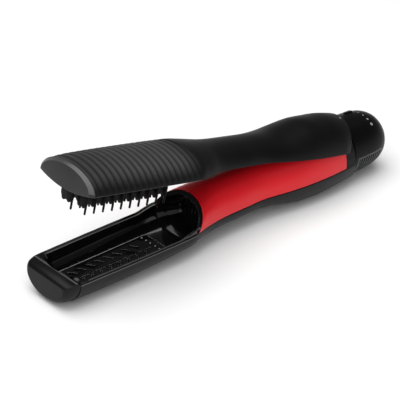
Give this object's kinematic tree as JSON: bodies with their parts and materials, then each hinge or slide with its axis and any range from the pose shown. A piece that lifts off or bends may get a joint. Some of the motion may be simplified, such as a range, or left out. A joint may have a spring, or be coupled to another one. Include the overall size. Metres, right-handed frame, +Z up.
{
  "type": "hot air straightening brush",
  "caption": "Hot air straightening brush with an open channel, a ribbed toothed arm that closes over it, a red duct cover and a vented dial at the end of the handle.",
  "frame": {"origin": "middle of the bounding box in plan, on the surface that the brush lies on", "axes": "+X runs from the tip of the channel to the dial at the tail, +Y across the brush, +Z up"},
  "size_m": [0.306, 0.055, 0.0928],
  "materials": {
    "gloss_black": "moulded, high gloss",
    "cap_grey": "moulded, fine matt grain",
    "red": "painted red, satin gloss",
    "satin_black": "moulded, satin",
    "vent_grey": "moulded, matt",
    "soft_black": "soft-touch coating, matt",
    "brush_black": "moulded, satin",
    "inner_nylon": "moulded",
    "steel": "plain",
    "bracket_zinc": "stamped and plated",
    "mica": "pressed mica sheet",
    "heater_wire": "resistance wire",
    "motor_can": "drawn and plated",
    "board_green": "circuit board lacquer",
    "parts_dark": "moulded",
    "fan_grey": "moulded",
    "bush_rubber": "plain",
    "screen_grey": "moulded screen",
    "sensor_metal": "plain",
    "fuse_white": "glazed"
  },
  "bodies": {
    "handle": {"channel": "gloss_black", "channel_end_cap": "cap_grey", "floor_panel": "gloss_black", "mouth_liner": "gloss_black", "duct_cover": "red", "lower_shell": "satin_black", "rear_bulkhead": "satin_black", "hinge_block": "inner_nylon", "hinge_pin": "steel", "opening_spring": "steel", "heater_sleeve": "mica", "sleeve_rings": "inner_nylon", "heater_cross": "mica", "heater_coil": "heater_wire", "thermostat": "sensor_metal", "thermal_fuse": "fuse_white", "fan_motor": "motor_can", "motor_mount": "inner_nylon", "control_board": "board_green", "board_parts": "parts_dark", "switch_block": "inner_nylon", "dust_screen": "screen_grey", "cord_bush": "bush_rubber", "housing_screws": "steel"},
    "arm": {"arm_shell": "soft_black", "paddle_end_cap": "cap_grey", "arm_bracket": "bracket_zinc", "brush_base": "brush_black", "comb_far": "brush_black", "comb_near": "brush_black", "paddle_bosses": "inner_nylon", "base_screws": "steel"},
    "dial": {"dial_cap": "satin_black", "intake_grilles": "vent_grey"},
    "fan": {"fan_impeller": "fan_grey", "motor_shaft": "steel"}
  },
  "joints": [
    {"name": "arm_hinge", "type": "hinge", "parent": "handle", "child": "arm", "pos_m": [0.09366, 0, 0.036], "axis": [0, 1, 0], "range_deg": [-12.8, 0], "stiffness_Nm_per_rad": 0.3, "springref_deg": 22.92, "deforming": ["opening_spring"]},
    {"name": "dial_turn", "type": "hinge", "parent": "handle", "child": "dial", "pos_m": [0.11116, 0, 0.0228], "axis": [1, 0, 0], "range_deg": [-21, 21]},
    {"name": "fan_spin", "type": "hinge", "parent": "handle", "child": "fan", "pos_m": [0.05016, 0, 0.023], "axis": [1, 0, 0], "continuous": true}
  ]
}
